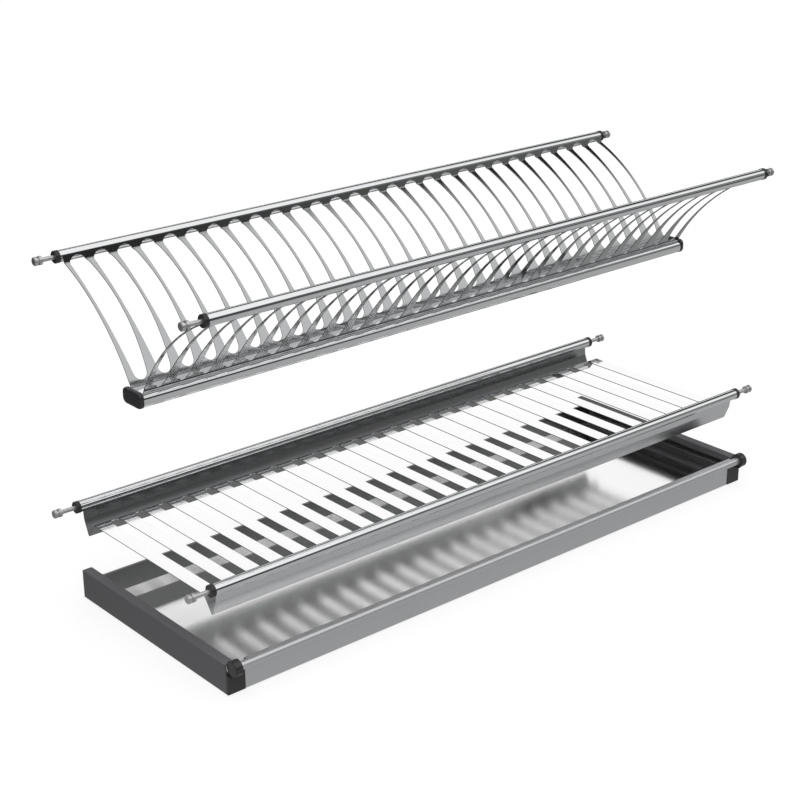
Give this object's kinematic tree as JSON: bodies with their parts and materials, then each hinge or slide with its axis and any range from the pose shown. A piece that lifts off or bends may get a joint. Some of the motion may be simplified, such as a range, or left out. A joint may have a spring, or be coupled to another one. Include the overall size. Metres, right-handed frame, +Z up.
{
  "type": "cabinet dish rack",
  "caption": "Two-tier dish rack for a wall cabinet: ribbed steel plate rack on spring-ended rails, slatted cup rack below it and a flat drip tray with dark side profiles.",
  "frame": {"origin": "centre of the drip tray's underside", "axes": "+X along the rails to the right, -Y towards the front of the cabinet, +Z up"},
  "size_m": [0.878, 0.3016, 0.4168],
  "materials": {
    "polished_steel": "polished",
    "satin_steel": "satin",
    "pin_steel": "plated",
    "dark_profile": "matte",
    "black_plastic": "semi-gloss"
  },
  "bodies": {
    "plate_rack": {"plate_rear_rail": "polished_steel", "plate_front_rail": "polished_steel", "plate_rear_ribs": "polished_steel", "plate_front_ribs": "polished_steel", "base_channel": "polished_steel", "base_cap_left": "black_plastic", "base_cap_right": "black_plastic", "plate_bush_rear_left": "black_plastic", "plate_bush_rear_right": "black_plastic", "plate_bush_front_left": "black_plastic", "plate_bush_front_right": "black_plastic"},
    "cup_rack": {"cup_rear_rail": "polished_steel", "cup_front_rail": "polished_steel", "cup_rear_flange": "polished_steel", "cup_front_flange": "polished_steel", "cup_ribs": "polished_steel", "cup_bush_rear_left": "black_plastic", "cup_bush_rear_right": "black_plastic", "cup_bush_front_left": "black_plastic", "cup_bush_front_right": "black_plastic"},
    "drip_tray": {"tray_side_left": "dark_profile", "tray_side_right": "dark_profile", "tray_pan": "satin_steel", "tray_front_profile": "satin_steel", "tray_rear_wall": "satin_steel", "tray_corner_left": "black_plastic", "tray_corner_right": "black_plastic"},
    "plate_pin_rear_left": {"plate_pin_rear_left": "pin_steel", "plate_clip_rear_left": "pin_steel"},
    "plate_pin_rear_right": {"plate_pin_rear_right": "pin_steel", "plate_clip_rear_right": "pin_steel"},
    "plate_pin_front_left": {"plate_pin_front_left": "pin_steel", "plate_clip_front_left": "pin_steel"},
    "plate_pin_front_right": {"plate_pin_front_right": "pin_steel", "plate_clip_front_right": "pin_steel"},
    "cup_pin_rear_left": {"cup_pin_rear_left": "pin_steel", "cup_clip_rear_left": "pin_steel"},
    "cup_pin_rear_right": {"cup_pin_rear_right": "pin_steel", "cup_clip_rear_right": "pin_steel"},
    "cup_pin_front_left": {"cup_pin_front_left": "pin_steel", "cup_clip_front_left": "pin_steel"},
    "cup_pin_front_right": {"cup_pin_front_right": "pin_steel", "cup_clip_front_right": "pin_steel"}
  },
  "joints": [
    {"name": "cup_rack_lift_out", "type": "slide", "parent": "plate_rack", "child": "cup_rack", "axis": [0, -1, 0], "range_m": [0, 0.34]},
    {"name": "drip_tray_draw_out", "type": "slide", "parent": "plate_rack", "child": "drip_tray", "axis": [0, -1, 0], "range_m": [0, 0.34]},
    {"name": "plate_pin_rear_left_slide", "type": "slide", "parent": "plate_rack", "child": "plate_pin_rear_left", "axis": [1, 0, 0], "range_m": [0, 0.0137]},
    {"name": "plate_pin_rear_right_slide", "type": "slide", "parent": "plate_rack", "child": "plate_pin_rear_right", "axis": [-1, 0, 0], "range_m": [-0.009, 0.0047]},
    {"name": "plate_pin_front_left_slide", "type": "slide", "parent": "plate_rack", "child": "plate_pin_front_left", "axis": [1, 0, 0], "range_m": [0, 0.0137]},
    {"name": "plate_pin_front_right_slide", "type": "slide", "parent": "plate_rack", "child": "plate_pin_front_right", "axis": [-1, 0, 0], "range_m": [-0.009, 0.0047]},
    {"name": "cup_pin_rear_left_slide", "type": "slide", "parent": "cup_rack", "child": "cup_pin_rear_left", "axis": [1, 0, 0], "range_m": [0, 0.0167]},
    {"name": "cup_pin_rear_right_slide", "type": "slide", "parent": "cup_rack", "child": "cup_pin_rear_right", "axis": [-1, 0, 0], "range_m": [0, 0.0167]},
    {"name": "cup_pin_front_left_slide", "type": "slide", "parent": "cup_rack", "child": "cup_pin_front_left", "axis": [1, 0, 0], "range_m": [0, 0.0167]},
    {"name": "cup_pin_front_right_slide", "type": "slide", "parent": "cup_rack", "child": "cup_pin_front_right", "axis": [-1, 0, 0], "range_m": [0, 0.0167]}
  ]
}
